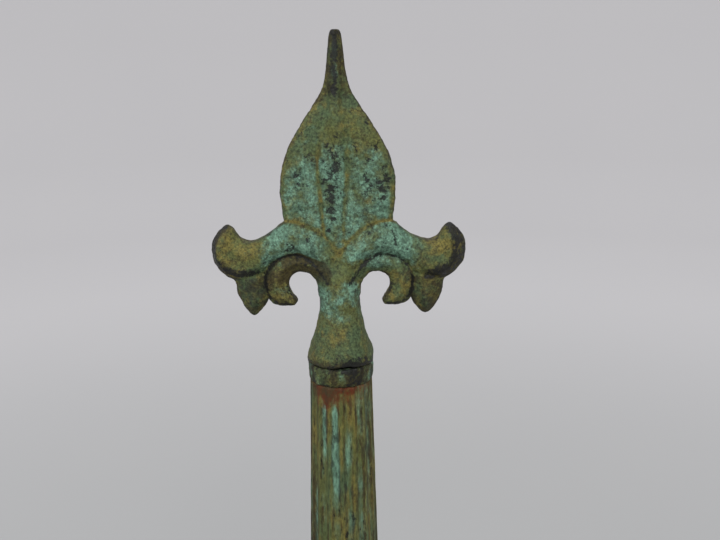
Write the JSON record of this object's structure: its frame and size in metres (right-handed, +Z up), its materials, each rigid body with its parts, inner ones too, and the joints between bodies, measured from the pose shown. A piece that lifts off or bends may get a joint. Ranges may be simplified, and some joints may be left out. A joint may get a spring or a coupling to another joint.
{
  "type": "railway semaphore signal",
  "caption": "Upper-quadrant signal arm with coloured glasses and an oil lamp on a tapered fluted post with a fleur-de-lis finial, worked by a down rod and a weighted lever.",
  "frame": {"origin": "centre of the base plate's underside, on the post's axis", "axes": "+Z up along the post, +X along the arm at danger, -Y towards the front, where the arm is"},
  "size_m": [0.2892, 0.11, 0.595],
  "materials": {
    "verdigris": "weathered verdigris patina",
    "weathered_post": "olive and turquoise patina with rust",
    "cast_iron": "weathered dark green paint",
    "rusty_fastener": "rusty brown",
    "bare_steel": "dull oiled",
    "arm_enamel": "weathered enamel",
    "red_glass": "coloured glass",
    "green_glass": "coloured glass",
    "clear_glass": "clear glass",
    "brass": "tarnished",
    "lamp_paint": "worn black paint"
  },
  "bodies": {
    "root": {"base_plate": "cast_iron", "column_shoe": "cast_iron", "shoe_bolts": "rusty_fastener", "fluted_post": "weathered_post", "post_set_screws": "rusty_fastener", "tie_rod": "bare_steel", "tie_rod_washer": "bare_steel", "tie_rod_nut": "rusty_fastener", "finial": "verdigris", "finial_collar": "verdigris", "arm_bracket": "cast_iron", "arm_bracket_strap": "cast_iron", "lever_bracket": "cast_iron", "lever_bracket_strap": "cast_iron", "clamp_bolts": "rusty_fastener", "clamp_nuts": "rusty_fastener", "arm_spindle": "bare_steel", "lever_spindle": "bare_steel", "spindle_washers": "bare_steel", "spindle_nuts": "rusty_fastener", "split_pins": "bare_steel", "danger_stop_screw": "rusty_fastener", "danger_stop_nut": "rusty_fastener", "lamp_bracket": "cast_iron", "lamp_bracket_screw": "rusty_fastener", "lamp_bracket_nut": "rusty_fastener"},
    "arm": {"spectacle": "cast_iron", "arm_bush": "brass", "arm_blade": "arm_enamel", "arm_bolts": "rusty_fastener", "arm_nuts": "rusty_fastener", "red_glass": "red_glass", "green_glass": "green_glass", "glass_rings": "brass", "arm_crank_pin": "bare_steel", "arm_pin_washer": "bare_steel"},
    "rod": {"down_rod": "bare_steel", "rod_eyes": "cast_iron", "rod_lock_nuts": "rusty_fastener"},
    "lever": {"balance_lever": "cast_iron", "lever_bush": "brass", "balance_weight": "cast_iron", "weight_set_screw": "rusty_fastener", "lever_crank_pin": "bare_steel", "lever_pin_washer": "bare_steel"},
    "lamp": {"lamp_case": "lamp_paint", "lamp_roof": "lamp_paint", "lamp_lens_barrel": "brass", "lamp_lens": "clear_glass", "lamp_font": "brass", "lamp_burner": "brass", "lamp_handle": "lamp_paint", "door_hinge_pin": "brass"},
    "door": {"lamp_door": "lamp_paint", "back_light_glass": "clear_glass", "door_knob": "brass"}
  },
  "joints": [
    {"name": "arm_pivot", "type": "hinge", "parent": "root", "child": "arm", "pos_m": [0, -0.036, 0.334], "axis": [0, -1, 0], "range_deg": [0, 45]},
    {"name": "rod_eye_pivot", "type": "hinge", "parent": "arm", "child": "rod", "pos_m": [-0.02402, -0.0324, 0.34395], "axis": [0, -1, 0], "range_deg": [-45, 0]},
    {"name": "lever_pivot", "type": "hinge", "parent": "root", "child": "lever", "pos_m": [0, -0.036, 0.144], "axis": [0, -1, 0], "range_deg": [0, 45]},
    {"name": "lamp_lift", "type": "slide", "parent": "root", "child": "lamp", "axis": [0, 0, 1], "range_m": [0, 0.012]},
    {"name": "lamp_door_hinge", "type": "hinge", "parent": "lamp", "child": "door", "pos_m": [-0.0612, 0.0154, 0.329], "axis": [0, 0, 1], "range_deg": [0, 110]}
  ],
  "couplings": [
    {"joint": "rod_eye_pivot", "follows": "arm_pivot", "ratio": -1},
    {"joint": "lever_pivot", "follows": "arm_pivot", "ratio": 1}
  ]
}
